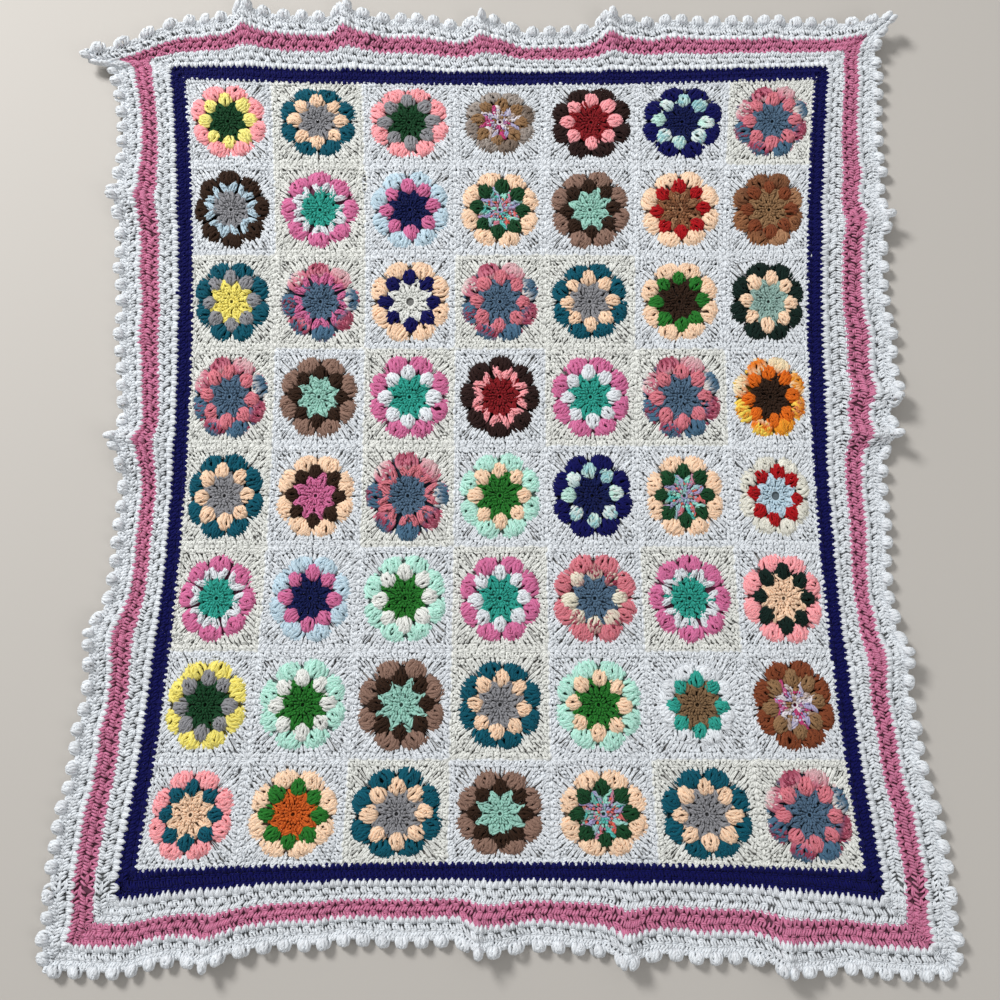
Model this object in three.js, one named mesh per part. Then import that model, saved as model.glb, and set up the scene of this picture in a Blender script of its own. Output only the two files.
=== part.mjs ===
// A crocheted granny square throw lying flat: eight rows of seven squares, each with a
// raised eight-petalled flower, then four border bands worked round the panel (navy, white,
// pink, white) and an edging of crocheted balls. The border is a little too long for the
// panel, so it stands up in ruffles, and two of its corners are pinched into ears.
// Millimetres, +Z up, +Y towards the top row. Every piece lies on the plane z = 0.
import * as THREE from 'three';

// Panel of squares
const columns = 7;
const rows = 8;
const squareWidth = 155.5;
const squareLength = 160;
const seamGap = 0.4; // clear space where two pieces are joined
const waistPinch = 0.075; // share of its width that the panel loses half way along
const sideTuck = 10; // how far the border draws in the panel's two long edges
const endTuck = 12; // and the middle of its top and bottom edges
const cornerDrop = 14; // how far the navy band's two bottom corners are pulled out

// Section of one square
const seamThickness = 5;
const centreThickness = 6;
const bobbleHeight = 9;
const bobbleValley = 7;
const petalHeight = 5.5;
const groundBand = 9.7; // white ground between the petals and the nearest seam
const petalBand = 24; // from the crest of the bobbles to the petals' edge

// Border bands, from the panel outwards
const bandWidths = { navy: 26, innerWhite: 31, pink: 32, outerWhite: 29 };
const bandThickness = 6;

// Edging balls, worked into the outer white band
const ballSpacing = 28;
const ballReach = 13; // how far a ball stands out past the band
const ballHeight = 13;
const ballValley = 1.5; // how far the stitch between two balls stands out

// Ruffles: along is measured from the middle of the side, towards +X or +Y
const ruffles = [
  { side: 'top', along: -425, height: 18, width: 34 },
  { side: 'top', along: -254, height: 20, width: 30 },
  { side: 'top', along: -20, height: 24, width: 36 },
  { side: 'top', along: 195, height: 22, width: 32 },
  { side: 'right', along: 368, height: 24, width: 34 },
  { side: 'right', along: 90, height: 24, width: 26 },
  { side: 'right', along: 24, height: 28, width: 30 },
  { side: 'right', along: -337, height: 20, width: 60 },
  { side: 'left', along: 410, height: 20, width: 34 },
  { side: 'left', along: -6, height: 26, width: 34 },
  { side: 'left', along: -307, height: 18, width: 44 },
  { side: 'bottom', along: -410, height: 20, width: 32 },
  { side: 'bottom', along: -22, height: 26, width: 34 },
  { side: 'bottom', along: 189, height: 22, width: 30 },
  { side: 'bottom', along: 419, height: 30, width: 40 },
];

// Pinched corners: towards is the push on the outermost stitches, lift their rise
const pinchedCorners = [
  { corner: [-1, 1], towards: [-30, -12], lift: 16 },
  { corner: [1, 1], towards: [30, 6], lift: 24 },
];
const pinchRadius = 75;

const yarnColours = {
  blackBrown: 0x28120f, blackGreen: 0x051e19, darkBrown: 0x2d190c,
  grayMarl: 0x8c827a, ivory: 0xebebd2, lightPeach: 0xfad7b4, navy: 0x08085a, orange: 0xe16e14, paleBlue: 0xc8e1eb, paleMint: 0xb9e6d7,
  peach: 0xfacda5, pink: 0xd75f91, rosePink: 0xcd5f96, rust: 0x824123,
  salmonPink: 0xfa9ba0, slate: 0x466982, dustyRose: 0xd77d87, taupe: 0x8c6e5f,
  teal: 0x00586c, white: 0xdce0e6, yellow: 0xf5e664,
};

// The yarn of each square's petal round, top row first
const petalYarns = [
  ['salmonPink', 'teal', 'salmonPink', 'grayMarl', 'blackBrown', 'navy', 'slate'],
  ['darkBrown', 'rosePink', 'paleBlue', 'peach', 'taupe', 'lightPeach', 'grayMarl'],
  ['teal', 'slate', 'peach', 'slate', 'teal', 'peach', 'blackGreen'],
  ['slate', 'taupe', 'rosePink', 'blackBrown', 'rosePink', 'slate', 'orange'],
  ['teal', 'peach', 'slate', 'paleMint', 'navy', 'peach', 'ivory'],
  ['rosePink', 'paleBlue', 'paleMint', 'rosePink', 'dustyRose', 'rosePink', 'salmonPink'],
  ['yellow', 'paleMint', 'taupe', 'teal', 'paleMint', 'white', 'rust'],
  ['salmonPink', 'lightPeach', 'teal', 'taupe', 'peach', 'teal', 'slate'],
];

const petalRadius = Math.min(squareWidth, squareLength) / 2 - groundBand;
const bobbleRadius = petalRadius - petalBand;
const halfPanelWidth = (columns * squareWidth) / 2;
const halfPanelLength = (rows * squareLength) / 2;
const borderWidth = Object.values(bandWidths).reduce((sum, width) => sum + width, 0);
const spokes = 16; // divisions round one square

function smoothRise(share) {
  const t = Math.min(1, Math.max(0, share));
  return t * t * (3 - 2 * t);
}

// How the flat pattern is drawn in at the waist and at its edges
function waisted([x, y]) {
  const across = Math.min(1, Math.abs(x) / halfPanelWidth);
  const along = Math.min(1, Math.abs(y) / halfPanelLength);
  const outside = (Math.abs(y) - halfPanelLength) / bandWidths.navy;
  const drop = y < 0 ? cornerDrop * across ** 4 * smoothRise(outside) : 0;
  const sideways = x * (1 - waistPinch * (1 - along * along));
  return [
    sideways - Math.sign(x) * sideTuck * across ** 12,
    y - Math.sign(y) * endTuck * along ** 12 * (1 - across * across) - drop,
  ];
}

function yarnMaterial(yarn) {
  return new THREE.MeshStandardMaterial({
    color: yarnColours[yarn],
    roughness: 0.9,
    metalness: 0,
  });
}

function closedMesh(name, yarn, points, triangles, centre) {
  const geometry = new THREE.BufferGeometry();
  const places = points.flatMap(([x, y, z]) => [x - centre[0], y - centre[1], z]);
  geometry.setAttribute('position', new THREE.Float32BufferAttribute(places, 3));
  geometry.setIndex(triangles.flat());
  geometry.computeVertexNormals();
  const mesh = new THREE.Mesh(geometry, yarnMaterial(yarn));
  mesh.name = name;
  mesh.position.set(centre[0], centre[1], 0);
  return mesh;
}

// One granny square: a flat back, a raised ring of eight bobbles and a ring of petals
function grannySquare(row, column) {
  const middle = [
    (column - (columns - 1) / 2) * squareWidth,
    ((rows - 1) / 2 - row) * squareLength,
  ];
  const halfWidth = (squareWidth - seamGap) / 2;
  const halfLength = (squareLength - seamGap) / 2;
  const rings = [[], [], [], []]; // bobbles, petals, top of the seam, back of the seam
  for (let spoke = 0; spoke < spokes; spoke += 1) {
    const angle = (2 * Math.PI * spoke) / spokes;
    const [c, s] = [Math.cos(angle), Math.sin(angle)];
    const toEdge = 1 / Math.max(Math.abs(c), Math.abs(s));
    const crest = spoke % 2 === 0 ? bobbleHeight : bobbleValley;
    const edge = [middle[0] + halfWidth * c * toEdge, middle[1] + halfLength * s * toEdge];
    const round = (radius) => [middle[0] + radius * c, middle[1] + radius * s];
    rings[0].push([...waisted(round(bobbleRadius)), crest]);
    rings[1].push([...waisted(round(petalRadius)), petalHeight]);
    rings[2].push([...waisted(edge), seamThickness]);
    rings[3].push([...waisted(edge), 0]);
  }
  const centre = waisted(middle);
  const points = [[...centre, centreThickness], ...rings.flat(), [...centre, 0]];
  const at = (ring, spoke) => 1 + ring * spokes + (spoke % spokes);
  const last = points.length - 1;
  const triangles = [];
  for (let spoke = 0; spoke < spokes; spoke += 1) {
    triangles.push([0, at(0, spoke), at(0, spoke + 1)]);
    for (let ring = 0; ring < 3; ring += 1) {
      triangles.push([at(ring, spoke), at(ring + 1, spoke), at(ring + 1, spoke + 1)]);
      triangles.push([at(ring, spoke), at(ring + 1, spoke + 1), at(ring, spoke + 1)]);
    }
    triangles.push([last, at(3, spoke + 1), at(3, spoke)]);
  }
  const name = `granny_square_r${row + 1}_c${column + 1}`;
  return closedMesh(name, petalYarns[row][column], points, triangles, centre);
}

// The sides in order round the panel. share runs from -1 to 1 along each, offset outwards.
const sides = {
  right: (share, offset) => [halfPanelWidth + offset, share * (halfPanelLength + offset)],
  top: (share, offset) => [-share * (halfPanelWidth + offset), halfPanelLength + offset],
  left: (share, offset) => [-halfPanelWidth - offset, -share * (halfPanelLength + offset)],
  bottom: (share, offset) => [share * (halfPanelWidth + offset), -halfPanelLength - offset],
};

// Where the border goes from its flat pattern: its place and how far it stands off z = 0
function ruffled(side, flat, offset) {
  const rise = smoothRise(offset / borderWidth);
  const along = side === 'top' || side === 'bottom' ? flat[0] : flat[1];
  let lift = 0;
  for (const ruffle of ruffles) {
    if (ruffle.side === side) {
      const away = (along - ruffle.along) / ruffle.width;
      lift += ruffle.height * rise * Math.exp(-away * away);
    }
  }
  let [x, y] = waisted(flat);
  for (const { corner, towards, lift: cornerLift } of pinchedCorners) {
    const dx = flat[0] - corner[0] * (halfPanelWidth + borderWidth);
    const dy = flat[1] - corner[1] * (halfPanelLength + borderWidth);
    const pull = Math.exp(-(dx * dx + dy * dy) / (pinchRadius * pinchRadius));
    x += towards[0] * pull;
    y += towards[1] * pull;
    lift += cornerLift * pull * rise;
  }
  return [x, y, lift];
}

// Stations round the panel, the same for every band so that neighbouring edges run true
function stationsRound() {
  const stations = [];
  for (const side of Object.keys(sides)) {
    const upright = side === 'left' || side === 'right';
    const length = 2 * ((upright ? halfPanelLength : halfPanelWidth) + borderWidth);
    const steps = Math.round(length / ballSpacing);
    for (let step = 0; step < steps; step += 1) {
      const share = (2 * step) / steps - 1;
      stations.push({ side, share, ballShare: share + 1 / steps });
    }
  }
  return stations;
}

function placed(side, share, offset, height) {
  const [x, y, lift] = ruffled(side, sides[side](share, offset), offset);
  return [x, y, lift + height];
}

// A band worked round the panel, with or without a ball between each two stations
function borderBand(name, yarn, innerOffset, outerOffset, withBalls) {
  const stations = stationsRound();
  const reach = withBalls ? ballValley : 0;
  const ringSize = withBalls ? 6 : 4;
  const points = [];
  for (const { side, share, ballShare } of stations) {
    points.push(placed(side, share, innerOffset, 0));
    points.push(placed(side, share, innerOffset, bandThickness));
    points.push(placed(side, share, outerOffset + reach, bandThickness));
    points.push(placed(side, share, outerOffset + reach, 0));
    if (withBalls) {
      points.push(placed(side, ballShare, outerOffset + ballReach, ballHeight));
      points.push(placed(side, ballShare, outerOffset + ballReach, 0));
    }
  }
  const at = (station, corner) => (station % stations.length) * ringSize + corner;
  const triangles = [];
  const quad = (a, b, c, d) => triangles.push([a, b, c], [b, d, c]);
  for (let station = 0; station < stations.length; station += 1) {
    const here = [0, 1, 2, 3].map((corner) => at(station, corner));
    const next = [0, 1, 2, 3].map((corner) => at(station + 1, corner));
    quad(here[0], here[1], next[0], next[1]);
    quad(here[1], here[2], next[1], next[2]);
    quad(here[3], here[0], next[3], next[0]);
    if (withBalls) {
      const [ballTop, ballBack] = [at(station, 4), at(station, 5)];
      triangles.push([here[2], ballTop, next[2]], [here[3], next[3], ballBack]);
      quad(here[2], here[3], ballTop, ballBack);
      quad(ballTop, ballBack, next[2], next[3]);
    } else {
      quad(here[2], here[3], next[2], next[3]);
    }
  }
  return closedMesh(name, yarn, points, triangles, [0, 0]);
}

const blanket = new THREE.Group();
for (let row = 0; row < rows; row += 1) {
  for (let column = 0; column < columns; column += 1) {
    blanket.add(grannySquare(row, column));
  }
}

const bands = [
  ['navy_border', 'navy', bandWidths.navy],
  ['inner_white_border', 'white', bandWidths.innerWhite],
  ['pink_border', 'pink', bandWidths.pink],
  ['outer_white_border', 'white', bandWidths.outerWhite],
];
let offset = seamGap / 2;
for (const [name, yarn, width] of bands) {
  const withBalls = name === 'outer_white_border';
  blanket.add(borderBand(name, yarn, offset, offset + width - seamGap, withBalls));
  offset += width;
}

// The origin is the middle of the throw's underside
const box = new THREE.Box3().setFromObject(blanket);
const middle = box.getCenter(new THREE.Vector3());
blanket.position.set(-middle.x, -middle.y, -box.min.z);

const group = new THREE.Group();
group.add(blanket);

export default group;
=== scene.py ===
import math

import bpy
import numpy as np
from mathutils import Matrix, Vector


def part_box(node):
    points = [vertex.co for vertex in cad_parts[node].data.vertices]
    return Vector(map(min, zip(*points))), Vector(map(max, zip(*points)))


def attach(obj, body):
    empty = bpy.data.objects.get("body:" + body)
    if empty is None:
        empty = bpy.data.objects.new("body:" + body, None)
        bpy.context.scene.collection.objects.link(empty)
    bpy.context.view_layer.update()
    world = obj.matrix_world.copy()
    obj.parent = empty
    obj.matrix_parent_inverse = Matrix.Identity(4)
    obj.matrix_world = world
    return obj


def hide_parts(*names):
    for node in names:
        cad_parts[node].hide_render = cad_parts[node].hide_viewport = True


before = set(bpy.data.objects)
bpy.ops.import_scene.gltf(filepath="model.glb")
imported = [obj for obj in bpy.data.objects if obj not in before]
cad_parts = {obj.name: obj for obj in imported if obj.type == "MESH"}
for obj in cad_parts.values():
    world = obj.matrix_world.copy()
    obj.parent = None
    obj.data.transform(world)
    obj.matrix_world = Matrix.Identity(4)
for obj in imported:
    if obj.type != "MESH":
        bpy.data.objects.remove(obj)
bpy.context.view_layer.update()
mm = 0.001

throw = {
    "rows": 8,
    "columns": 7,
    "squareWidth": 155.5 * mm,
    "squareLength": 160 * mm,
    "waistPinch": 0.075,  # share of its width lost half way along
    "sideTuck": 10 * mm,  # how far the border draws the panel's long edges in
    "endTuck": 12 * mm,  # and the middle of its top and bottom edges
    "cornerDrop": 14 * mm,  # how far the navy band's bottom corners are pulled out
    "seed": 21,
}

# sRGB shades of the yarns. A list of shades is a variegated yarn.
yarnShades = {
    "coolWhite": (229, 233, 237),
    "cream": (232, 233, 228),
    "navy": (1, 3, 82),
    "pink": (208, 127, 160),
    "salmonPink": (250, 168, 173),
    "rosePink": (210, 114, 158),
    "teal": (2, 84, 102),
    "jade": (48, 162, 146),
    "mint": (160, 208, 194),
    "paleMint": (186, 232, 217),
    "green": (38, 118, 40),
    "darkGreen": (18, 68, 36),
    "blackGreen": (5, 32, 26),
    "darkBrown": (48, 28, 14),
    "blackBrown": (40, 19, 16),
    "taupe": (142, 112, 98),
    "goldTan": (146, 112, 78),
    "tan": (132, 104, 74),
    "rust": (128, 66, 38),
    "orange": (222, 108, 22),
    "burntOrange": (206, 98, 34),
    "yellow": (244, 230, 122),
    "paleYellow": (245, 236, 140),
    "gray": (145, 145, 149),
    "slate": (84, 110, 134),
    "dustyRose": (214, 124, 136),
    "peach": (247, 213, 182),
    "lightPeach": (250, 217, 186),
    "paleBlue": (194, 216, 228),
    "red": (172, 12, 22),
    "darkRed": (134, 22, 30),
    "darkNavy": (8, 22, 78),
    "ivory": (226, 224, 212),
    "dustyAqua": (150, 180, 172),
    "berry": [(74, 108, 134), (150, 60, 84), (206, 120, 140), (226, 220, 214), (74, 108, 134)],
    "creamBerry": [(232, 226, 206), (232, 226, 206), (160, 60, 84), (232, 226, 206)],
    "candy": [(200, 64, 122), (168, 162, 202), (228, 222, 226), (152, 112, 72)],
    "tropic": [(92, 192, 182), (226, 100, 80), (168, 162, 202), (160, 224, 205)],
    "mintCloud": [(196, 232, 220), (232, 240, 236), (150, 200, 205), (214, 236, 226)],
    "sunset": [(246, 214, 90), (226, 120, 26), (240, 226, 190), (232, 150, 40)],
    "grayMarl": [(140, 128, 120), (168, 158, 150), (120, 104, 92)],
    "tanMarl": [(150, 100, 66), (118, 74, 48), (170, 126, 92)],
}

# Each square's yarns: centre, bobbles, petals, ground. A v marks open V clusters for bobbles,
# and an o marks a wide centre ring.
squareYarns = [
    ["darkGreen paleYellow salmonPink coolWhite", "gray peach teal cream",
     "darkGreen gray salmonPink coolWhite", "candy goldTan grayMarl coolWhite",
     "darkRed salmonPink blackBrown coolWhite", "darkNavy mintCloud navy coolWhite",
     "slate dustyRose berry cream"],
    ["gray paleBlue darkBrown coolWhite v", "jade coolWhite rosePink cream v",
     "darkNavy rosePink paleBlue coolWhite", "tropic darkGreen peach coolWhite",
     "mint darkBrown taupe coolWhite", "tanMarl red lightPeach coolWhite",
     "goldTan rust tanMarl coolWhite"],
    ["yellow gray teal cream", "slate rosePink berry cream v",
     "cream navy peach coolWhite o", "slate dustyRose berry cream", "gray peach teal cream",
     "darkBrown green peach coolWhite", "dustyAqua lightPeach blackGreen coolWhite"],
    ["slate dustyRose berry cream", "mint darkBrown taupe coolWhite",
     "jade coolWhite rosePink cream", "darkRed salmonPink blackBrown coolWhite v",
     "jade coolWhite rosePink cream", "slate dustyRose berry cream",
     "darkBrown orange sunset coolWhite"],
    ["gray peach teal cream", "rosePink darkBrown peach coolWhite",
     "slate dustyRose berry cream v", "green peach paleMint coolWhite",
     "darkNavy mintCloud navy coolWhite", "tropic darkGreen peach coolWhite",
     "paleBlue red ivory coolWhite o"],
    ["jade coolWhite rosePink cream v", "darkNavy rosePink paleBlue coolWhite",
     "green cream paleMint coolWhite", "jade coolWhite rosePink cream",
     "slate creamBerry dustyRose coolWhite", "jade coolWhite rosePink cream v",
     "peach blackGreen salmonPink coolWhite"],
    ["darkGreen gray yellow coolWhite", "green cream paleMint coolWhite",
     "mint darkBrown taupe coolWhite", "gray peach teal cream",
     "green peach paleMint coolWhite", "tan jade coolWhite coolWhite",
     "candy goldTan rust coolWhite"],
    ["peach teal salmonPink coolWhite", "burntOrange green lightPeach coolWhite",
     "gray peach teal cream", "mint darkBrown taupe coolWhite",
     "tropic darkGreen peach coolWhite", "gray peach teal cream",
     "slate dustyRose berry cream"],
]

# Border bands from the panel outwards, with the stitch of each round. holes are the rounds with
# a line of eyelets at their foot.
bands = [
    {"node": "navy_border", "yarn": "navy", "width": 26 * mm, "rounds": ("drop", "slant", "slantBack"),
     "holes": ()},
    {"node": "inner_white_border", "yarn": "coolWhite", "width": 31 * mm,
     "rounds": ("drop", "slant", "slantBack"), "holes": (1, 2)},
    {"node": "pink_border", "yarn": "pink", "width": 32 * mm, "rounds": ("vee", "slantBack", "slant"),
     "holes": (1, 2)},
    {"node": "outer_white_border", "yarn": "coolWhite", "width": 29 * mm,
     "rounds": ("drop", "slant", "slantBack"), "holes": (1,)},
]
borderWidth = sum(band["width"] for band in bands)

# Ruffles of the border in mm: side, place along it towards +X or +Y, height, width, and which
# way the steep face looks
ruffles = [
    ("top", -425, 18, 34, -1), ("top", -254, 20, 30, -1),
    ("top", -20, 24, 36, -1), ("top", 195, 22, 32, -1),
    ("right", 368, 24, 34, 1), ("right", 90, 24, 28, -1),
    ("right", 24, 26, 30, -1), ("right", -337, 20, 50, 1),
    ("left", 410, 20, 36, 1), ("left", -6, 26, 36, 1), ("left", -307, 18, 44, 1),
    ("bottom", -410, 20, 32, -1), ("bottom", -22, 26, 34, -1),
    ("bottom", 189, 22, 30, -1), ("bottom", 419, 28, 40, -1),
]
ruffleShape = {
    "gather": 0.5,  # how far the stitches crowd towards the crest
    "outward": 10 * mm,  # how far a crest pushes the edge out
    "lean": 0.35,  # how far the crest wanders towards its steep face
    "steep": 0.6,  # share of the width on the steep face
    "gentle": 1.3,
}
# Small waves of the border between the ruffles, and slow rolls of the whole throw
ripples = {"height": 2.6 * mm, "sway": 2.2 * mm, "pitch": 74 * mm, "wander": (1.7, 0.31)}
rolls = {"height": 1.6 * mm, "along": (23, 19), "bend": (2, 9), "start": 1.3}
# The seam that has come undone: the square on its right counted from 0, and its place along it
openSeam = {"column": 2, "y": 0.447, "length": 20 * mm, "width": 4 * mm, "fade": 16 * mm}
# Pinched corners: which corner, where its tip moves in mm, its rise in mm, and how far it folds
# together across the diagonal
pinches = {
    "radius": 75 * mm,
    "corners": [((-1, 1), (-40, -52), 18, 0.0), ((1, 1), (16, -2), 27, 0.6)],
}
# Stretches of border that lie drawn in, in mm: side, middle, half length and how far inwards
sags = [
    ("top", 660, 330, 22), ("top", -640, 130, 30), ("top", 60, 170, 26),
    ("bottom", -180, 280, 20),
    ("left", 600, 110, 14), ("left", -120, 190, 20),
    ("right", 640, 130, 20), ("right", 150, 110, -18), ("right", -270, 250, 18),
]


def squareNode(row, column):
    return f"granny_square_r{row + 1}_c{column + 1}"


# The panel's middle comes from the squares of the frame
leftLow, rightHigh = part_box(squareNode(3, 0))[0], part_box(squareNode(3, throw["columns"] - 1))[1]
topHigh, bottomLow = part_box(squareNode(0, 3))[1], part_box(squareNode(throw["rows"] - 1, 3))[0]
dice = np.random.default_rng(throw["seed"])
panelMiddle = np.array([(leftLow.x + rightHigh.x) / 2, (topHigh.y + bottomLow.y) / 2])
squareHalf = np.array([throw["squareWidth"], throw["squareLength"]]) / 2
halfWidth, halfLength = squareHalf * [throw["columns"], throw["rows"]]


def smoothRise(share):
    t = np.clip(share, 0, 1)
    return t * t * (3 - 2 * t)


# Whether a side runs up and down, and the sign of its outward direction
def sideSense(side):
    return side in ("left", "right"), 1 if side in ("right", "top") else -1


# Takes points of the flat pattern, measured from the panel's middle, to their places on the
# laid throw
def drape(points):
    x, y, z = points.reshape(-1, 3).T.copy()
    flatX, flatY = x.copy(), y.copy()
    across, share = np.minimum(1, np.abs(x) / halfWidth), np.minimum(1, np.abs(y) / halfLength)
    outX, outY = np.abs(x) - halfWidth, np.abs(y) - halfLength
    offset = np.maximum(np.maximum(outX, outY), 0)
    rise = smoothRise(offset / borderWidth)
    x = x * (1 - throw["waistPinch"] * (1 - share**2)) - np.sign(x) * throw["sideTuck"] * across**12
    y = y - np.sign(y) * throw["endTuck"] * share**12 * (1 - across**2)
    y = y - (y < 0) * throw["cornerDrop"] * across**4 * smoothRise(outY / bands[0]["width"])
    for side, along, height, width, faces in ruffles:
        upright, sign = sideSense(side)
        s = (flatY if upright else flatX) - along * mm
        across = flatX if upright else flatY
        onSide = (sign * across > 0) & ((outX > outY) if upright else (outY >= outX))
        s = s - ruffleShape["lean"] * width * mm * rise * faces
        spread = np.where(s * faces > 0, ruffleShape["steep"], ruffleShape["gentle"]) * width * mm
        g = np.exp(-((s / spread) ** 2)) * rise * onSide
        z = z + height * mm * g
        pull = -ruffleShape["gather"] * s * g
        push = sign * ruffleShape["outward"] * g
        x = x + (push if upright else pull)
        y = y + (pull if upright else push)
    for side, along, reach, inwards in sags:
        upright, sign = sideSense(side)
        s, out = (flatY, sign * flatX - halfWidth) if upright else (flatX, sign * flatY - halfLength)
        drawn = np.exp(-(((s / mm - along) / reach) ** 2)) * smoothRise(out / borderWidth)
        drawn = -sign * inwards * mm * drawn
        x, y = x + (drawn if upright else 0), y + (0 if upright else drawn)
    for corner, towards, lift, squeeze in pinches["corners"]:
        dx = flatX - corner[0] * (halfWidth + borderWidth)
        dy = flatY - corner[1] * (halfLength + borderWidth)
        g = np.exp(-(dx * dx + dy * dy) / pinches["radius"] ** 2)
        fold = (dx * corner[0] - dy * corner[1]) / 2 * squeeze * g * rise
        x, y = x + towards[0] * mm * g - corner[0] * fold, y + towards[1] * mm * g + corner[1] * fold
        z = z + lift * mm * g * rise
    turn = 2 * math.pi * np.where(outX > outY, flatY, flatX) / ripples["pitch"]
    turn = turn + ripples["wander"][0] * np.sin(turn * ripples["wander"][1])
    z = z + ripples["height"] * rise * (1 + np.sin(turn))
    sway = ripples["sway"] * rise * np.sin(turn * 0.5 + 1)
    x = x + np.where(outX > outY, sway, 0) * np.sign(flatX)
    y = y + np.where(outX > outY, 0, sway) * np.sign(flatY)
    seamX = (openSeam["column"] - throw["columns"] / 2) * 2 * squareHalf[0]
    near = np.exp(-(((flatY - openSeam["y"]) / openSeam["length"]) ** 4))
    near = near * np.exp(-np.abs(flatX - seamX) / openSeam["fade"])
    x = x + np.sign(flatX - seamX) * openSeam["width"] * near
    bend = rolls["bend"][0] * np.sin(flatY * rolls["bend"][1])
    roll = np.sin(flatX * rolls["along"][0] + bend) * np.sin(flatY * rolls["along"][1] + rolls["start"])
    z = z + rolls["height"] * (roll + 1) / 2
    out = np.stack([x + panelMiddle[0], y + panelMiddle[1], z], 1)
    return out.reshape(points.shape)


# Stitch shapes on a cell: u across from -0.5 to 0.5, v from its foot to its head, w the height
# above the work in mm, and each strand's radius in mm. Most are drawn once and mirrored.
def pair(path, radius):
    return [(path, radius), ([(-u, v, w) for u, v, w in path], radius)]


stitchShapes = {
    "short": [([(-0.1, -0.14, 3.6), (0.2, 0.14, 4.6), (0.14, 0.6, 3.2), (-0.22, 0.98, 4.0)], 2.0),
              ([(0.1, -0.14, 2.8), (-0.2, 0.14, 3.0), (-0.2, 0.6, 4.8), (0.2, 0.98, 3.4)], 2.0)],
    "slant": [([(-0.46, -0.08, 3.6), (-0.36, 0.22, 5.2), (-0.14, 0.54, 5.6), (0.0, 0.86, 4.2)], 2.15),
              ([(0.06, 0.0, 3.2), (0.16, 0.3, 4.8), (0.36, 0.6, 5.4), (0.46, 0.9, 3.8)], 2.0)],
    "slantBack": [([(0.46, -0.08, 3.6), (0.36, 0.22, 5.2), (0.14, 0.54, 5.6), (0.0, 0.86, 4.2)], 2.15),
                  ([(-0.06, 0.0, 3.2), (-0.16, 0.3, 4.8), (-0.36, 0.6, 5.4), (-0.46, 0.9, 3.8)], 2.0)],
    "fat": pair([(-0.1, -0.04, 2.0), (-0.22, 0.25, 3.4), (-0.23, 0.6, 3.8), (-0.16, 0.97, 3.0)], 2.0),
    "wrap": [([(-0.36, 0.34, 2.6), (-0.12, 0.44, 5.2), (0.14, 0.54, 5.2), (0.36, 0.64, 2.6)], 1.6)],
    "chain": [
        ([(-0.5, 0.9, 3.2), (-0.16, 0.78, 5.3), (0.2, 0.8, 5.3), (0.52, 0.94, 3.2)], 1.85),
        ([(-0.5, 0.98, 3.0), (-0.1, 1.08, 4.6), (0.25, 1.07, 4.6), (0.52, 0.98, 3.0)], 1.75),
    ],
    "drop": [([(0.0, -0.6, 6.0), (0.0, -0.2, 7.4), (0.0, 0.25, 7.0), (0.0, 0.75, 4.0)], 2.3),
             *pair([(-0.09, -0.5, 5.2), (-0.22, -0.15, 6.2), (-0.3, 0.25, 5.4), (-0.26, 0.75, 3.4)],
                   2.0)],
    "vee": pair([(-0.02, -0.28, 4.4), (-0.15, 0.0, 5.8), (-0.3, 0.42, 5.2), (-0.42, 0.84, 3.6)], 1.85),
    "filler": [([(0.5, 0.0, 3.0), (0.45, 0.3, 4.4), (0.55, 0.6, 4.4), (0.5, 0.9, 3.0)], 1.7)],
}
plainWidth = 9.4 * mm  # the cell width that the radii are for


# Works one stitch into each cell and adds its strands to the skein. run is the place along a
# variegated yarn.
def work(skein, cells, shape, yarn, run=0.0, wobble=0.04, thick=1.0):
    strands = stitchShapes[shape]
    uvw = np.array([path for path, radius in strands])
    radii = np.array([radius for path, radius in strands])[None, :, None] * mm * thick
    n = len(cells)
    u, v, w = (np.broadcast_to(uvw[None, :, :, k], (n, *uvw.shape[:2])) for k in range(3))
    u = u + dice.normal(0, wobble, (n, 1, 1))
    v = v + dice.normal(0, wobble, (n, 1, 1))
    foot0, foot1, head0, head1 = cells[:, None, None, :, :].transpose(3, 0, 1, 2, 4)
    foot = foot0 + (foot1 - foot0) * (u + 0.5)[..., None]
    head = head0 + (head1 - head0) * (u + 0.5)[..., None]
    paths = foot + (head - foot) * v[..., None]
    footWidth = np.linalg.norm(foot1 - foot0, axis=-1)
    headWidth = np.linalg.norm(head1 - head0, axis=-1)
    local = footWidth + (headWidth - footWidth) * np.clip(v, 0, 1)
    scale = np.clip(local / plainWidth, 0.42, 1.15)
    paths[..., 2] += w * mm * (0.4 + 0.6 * scale) * (1 + dice.normal(0, 0.09, (n, 1, 1)))
    radii = radii * scale * (1 + dice.normal(0, 0.06, (n, 1, 1)))
    runs = np.broadcast_to((run + np.arange(n))[:, None], paths.shape[:2])
    flat = paths.shape[2]
    skein.append((paths.reshape(-1, flat, 3), radii.reshape(-1, flat), yarn, runs.reshape(-1)))


# Points on a circle, or on any outline when radius is a list
def ring(radius, angle, middle, height=0.0):
    radius, angle = np.broadcast_arrays(np.asarray(radius, float), np.asarray(angle, float))
    x, y = middle[0] + radius * np.cos(angle), middle[1] + radius * np.sin(angle)
    return np.stack([x, y, np.full_like(x, height)], -1)


# Cells between two rows of points, which are one point longer than the row of cells
def roundCells(inner, outer):
    return np.stack([inner[:-1], inner[1:], outer[:-1], outer[1:]], 1)


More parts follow.
